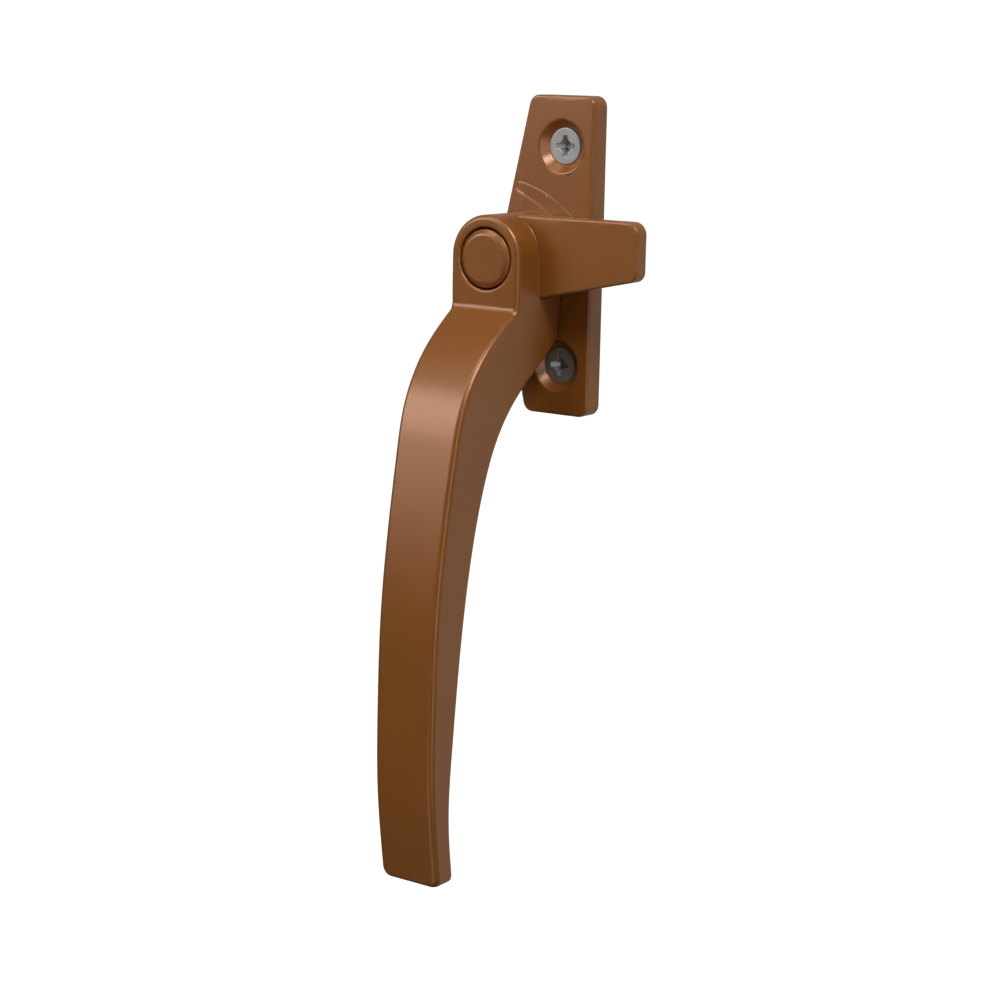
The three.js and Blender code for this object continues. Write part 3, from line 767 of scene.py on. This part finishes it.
def powder_coat():
    """Satin bronze powder coat: metallic flecks in a skin with a fine orange peel."""
    n = Nodes("bronze_powder_coat")
    cloud = n.between(n.noise(0.06, detail=3), 0.3, 0.7)
    colour = n.colour_mix(cloud, BRONZE, BRONZE_LIGHT)
    fleck = n.between(n.noise(14.0, detail=1), 0.58, 0.72)
    colour = n.colour_mix(n.product(fleck, 0.3), colour, LIGHT_FLECK)
    dark_fleck = n.between(n.noise(11.0, detail=1), 0.42, 0.3)
    colour = n.colour_mix(n.product(dark_fleck, 0.3), colour, DARK_FLECK)
    # painted highlight: a lighter colour on the convex rims, in patches
    painted_highlight = n.product(n.between(n.rim(), 0.5, 1.8), n.between(n.noise(0.5, detail=4), 0.4, 0.75))
    colour = n.colour_mix(n.product(painted_highlight, 0.22), colour, PAINTED_HIGHLIGHT)
    # painted shade: a darker colour in the concave corners and creases
    painted_shade = n.between(n.rim(), -0.5, -1.8)
    colour = n.colour_mix(n.product(painted_shade, 0.4), colour, PAINTED_SHADE)
    smear = n.between(n.noise(0.25, detail=4), 0.3, 0.75, to_low=-0.015, to_high=0.02)
    grain = n.between(n.noise(9.0, detail=1), 0.3, 0.7, to_low=0.31, to_high=0.36)
    peel = n.bump(n.noise(1.7, detail=2, roughness=0.45), 0.007)
    surface = n.bump(n.noise(8.0), 0.0014, under=peel)
    n.set(Base_Color=colour, Metallic=0.2, Specular_IOR_Level=0.9, Roughness=n.sum(grain, smear),
          Normal=surface)
    return n.material


def zinc_plate():
    """Bright zinc over machined steel, a little clouded."""
    n = Nodes("zinc_plated_steel")
    cloud = n.between(n.noise(0.5, detail=3), 0.3, 0.7)
    colour = n.colour_mix(cloud, ZINC_DULL, ZINC_BRIGHT)
    grain = n.between(n.noise(0.6), 0.3, 0.7, to_low=0.33, to_high=0.42)
    turning = n.noise(3.0, detail=3, roughness=0.6, stretch=(1.0, 12.0, 1.0))
    surface = n.bump(turning, 0.0008, under=n.bump(n.noise(0.7), 0.006))
    n.set(Base_Color=colour, Metallic=0.72, Roughness=grain, Normal=surface)
    return n.material


def spring_steel():
    """Blued spring steel with a film of oil."""
    n = Nodes("spring_steel")
    cloud = n.between(n.noise(0.8, detail=4), 0.3, 0.7)
    colour = n.colour_mix(cloud, STEEL_DARK, STEEL_LIGHT)
    grain = n.between(n.noise(5.0, detail=3), 0.3, 0.7, to_low=0.25, to_high=0.42)
    surface = n.bump(n.noise(6.0, detail=3), 0.006)
    n.set(Base_Color=colour, Metallic=1.0, Roughness=grain, Normal=surface)
    return n.material


def nylon():
    """Natural nylon, slightly milky."""
    n = Nodes("nylon")
    colour = n.colour_mix(n.noise(0.8, detail=3), NYLON_DEEP, NYLON_PALE)
    grain = n.between(n.noise(3.0, detail=3), 0.3, 0.7, to_low=0.4, to_high=0.55)
    n.set(Base_Color=colour, Roughness=grain, Normal=n.bump(n.noise(4.0), 0.006),
          Subsurface_Weight=0.15, Subsurface_Scale=0.5 * MM)
    return n.material


# ---------------------------------------------------------------- camera, floor and light

SOFTBOXES = [                     # name, azimuth, elevation, width and height in metres, watts
    ("key", 50, 50, 0.34, 0.34, 4.8),
    ("strip", 55, 0, 0.12, 0.90, 1.3),
    ("left", -42, 22, 0.50, 0.50, 3.1),
    ("upper_left", -30, 60, 0.45, 0.45, 1.8),
    ("low", -10, -35, 0.50, 0.50, 0.5),
]
WHITE = (1, 1, 1, 1)
FLOOR_GREY = (0.3, 0.3, 0.3, 1)
DIMMEST, BRIGHTEST = 0.015, 0.40  # the room's light from the front and from behind


def aim_camera():
    """The photograph's angle, found by fitting the plate, hub and nose to their outlines."""
    azimuth, elevation, roll = (math.radians(a) for a in (35.096, 11.083, 1.189))
    distance, target = 473.01, Vector((PIVOT_X - 8.351, 0, -51.399))
    back = Vector((
        math.sin(azimuth) * math.cos(elevation),
        -math.cos(azimuth) * math.cos(elevation),
        math.sin(elevation),
    ))
    level = Vector((math.cos(azimuth), math.sin(azimuth), 0))
    upright = back.cross(level)
    right = level * math.cos(roll) + upright * math.sin(roll)
    up = upright * math.cos(roll) - level * math.sin(roll)
    data = bpy.data.cameras.new("camera")
    data.lens = 82.563
    data.sensor_width = 36
    data.clip_start, data.clip_end = 0.01, 20
    camera = new_object("camera", data)
    turn = Matrix((right, up, back)).transposed().to_4x4()
    camera.matrix_world = Matrix.Translation((target + back * distance) * MM) @ turn
    bpy.context.scene.camera = camera


def softbox(name, azimuth, elevation, width, height, power):
    """A soft light a metre away, its azimuth measured from the front towards the right."""
    data = bpy.data.lights.new(name, "AREA")
    data.shape = "RECTANGLE"
    data.size, data.size_y = width, height
    data.energy = power
    turn, lift = math.radians(azimuth), math.radians(elevation)
    away = Vector((
        math.sin(turn) * math.cos(lift), -math.cos(turn) * math.cos(lift), math.sin(lift)))
    lamp = new_object(name, data)
    lamp.location = Vector((0, 0, CAD_BOX[0][2] / 3)) + away
    lamp.rotation_mode = "QUATERNION"
    lamp.rotation_quaternion = (-away).to_track_quat("-Z", "Y")


def floor_paint():
    """White that glows by itself from inside the bowl and is clear from outside."""
    paint = bpy.data.materials.new("floor_white")
    paint.use_nodes = True
    tree = paint.node_tree
    shader = tree.nodes["Principled BSDF"]
    shader.inputs["Base Color"].default_value = FLOOR_GREY
    shader.inputs["Roughness"].default_value = 1.0
    shader.inputs["Emission Color"].default_value = WHITE
    shader.inputs["Emission Strength"].default_value = 1.0
    clear = tree.nodes.new("ShaderNodeBsdfTransparent")
    behind = tree.nodes.new("ShaderNodeNewGeometry")
    either = tree.nodes.new("ShaderNodeMixShader")
    tree.links.new(behind.outputs["Backfacing"], either.inputs[0])
    tree.links.new(shader.outputs[0], either.inputs[1])
    tree.links.new(clear.outputs[0], either.inputs[2])
    tree.links.new(either.outputs[0], tree.nodes["Material Output"].inputs["Surface"])
    return paint


def lay_floor():
    """A white bowl of a floor well clear of the handle, in metres."""
    drop, flat, wall, top = 0.06, 1.6, 0.8, 3.0
    low = CAD_BOX[0][2] - drop
    profile = [(0, low), (flat, low)]
    first_angle, steps = 0.15, 8
    for angle in np.linspace(first_angle, math.pi / 2, steps):
        profile.append((flat + wall * math.sin(angle), low + wall * (1 - math.cos(angle))))
    profile.append((flat + wall, top))
    bm = bmesh.new()
    sides = 64
    turns = [(math.cos(2 * math.pi * k / sides), math.sin(2 * math.pi * k / sides)) for k in range(sides)]
    rings = [[bm.verts.new((r * c, r * s, z)) for c, s in turns] for r, z in profile]
    for near, far in zip(rings, rings[1:]):
        for k in range(sides):
            m = (k + 1) % sides
            bm.faces.new((near[k], far[k], far[m], near[m]))
    bmesh.ops.remove_doubles(bm, verts=bm.verts, dist=1e-5)
    mesh = bpy.data.meshes.new("floor")
    bm.to_mesh(mesh)
    bm.free()
    mesh.shade_smooth()
    mesh.materials.append(floor_paint())
    floor = new_object("floor", mesh)
    floor.visible_diffuse = False
    floor.visible_glossy = False
    floor.visible_shadow = False


def light_room():
    """Dim light from the front, brighter from behind, and the softboxes."""
    world = bpy.data.worlds.new("studio")
    world.use_nodes = True
    tree = world.node_tree
    where = tree.nodes.new("ShaderNodeTexCoord")
    split = tree.nodes.new("ShaderNodeSeparateXYZ")
    share = tree.nodes.new("ShaderNodeMapRange")
    limits = {"From Min": 0.0, "From Max": 0.6, "To Min": DIMMEST, "To Max": BRIGHTEST}
    for key, number in limits.items():
        share.inputs[key].default_value = number
    backdrop = tree.nodes["Background"]
    backdrop.inputs["Color"].default_value = WHITE
    tree.links.new(where.outputs["Generated"], split.inputs[0])
    tree.links.new(split.outputs["Y"], share.inputs["Value"])
    tree.links.new(share.outputs[0], backdrop.inputs["Strength"])
    bpy.context.scene.world = world
    bpy.context.scene.view_settings.view_transform = "Standard"
    for lamp in SOFTBOXES:
        softbox(*lamp)


# ---------------------------------------------------------------- the pieces

def wave(angle):
    return WAVE_HEIGHT * math.cos(WAVE_COUNT * angle)


def cast(node, field, origin, voxel):
    """A die cast piece with its slot."""
    return skin(node, field, origin, voxel), "bronze_powder_coat"


def plated(node, field, origin, voxel, keep=0.4):
    """A zinc plated piece with its slot."""
    return skin(node, field, origin, voxel, keep), "zinc_plated_steel"


aim_camera()
lay_floor()
light_room()

button_spring = conical_spring(
    "button_spring", wire=0.5, turns=3, low=12.9, high=15.9, wide=5.2, narrow=3.6)
pieces = {
    "base": [
        cast("base_plate", plate_field, (0, 0), voxel=0.28),
        plated("keeper_plate", keeper_field, PIVOT, voxel=0.16),
        plated("upper_fixing_screw", screw_field, (0, HOLE_Y), voxel=0.13, keep=0.7),
        plated("lower_fixing_screw", screw_field, (0, -HOLE_Y), voxel=0.13, keep=0.7),
        (ring("wave_washer", lift=wave), "spring_steel"),
    ],
    "handle": [
        cast("handle_casting", handle_field, PIVOT, voxel=0.33),
        (ring("thrust_washer"), "nylon"),
        (ring("retaining_washer"), "zinc_plated_steel"),
        (ring("spigot_circlip", gap=SPIGOT_CIRCLIP_GAP), "spring_steel"),
        (button_spring, "spring_steel"),
    ],
    "button": [
        cast("push_button", button_field, PIVOT, voxel=0.16),
        plated("lock_key", key_field, PIVOT, voxel=0.16),
        (ring("key_clip", gap=KEY_CLIP_GAP), "spring_steel"),
    ],
}

finishes = {
    "bronze_powder_coat": powder_coat(),
    "zinc_plated_steel": zinc_plate(),
    "spring_steel": spring_steel(),
    "nylon": nylon(),
}
for body, made in pieces.items():
    for piece, slot in made:
        piece.data.materials.clear()
        piece.data.materials.append(finishes[slot])
        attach(piece, body)
# the spring presses flat onto the floor of the button's bore, 12.6 mm off the sash
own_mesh(button_spring)
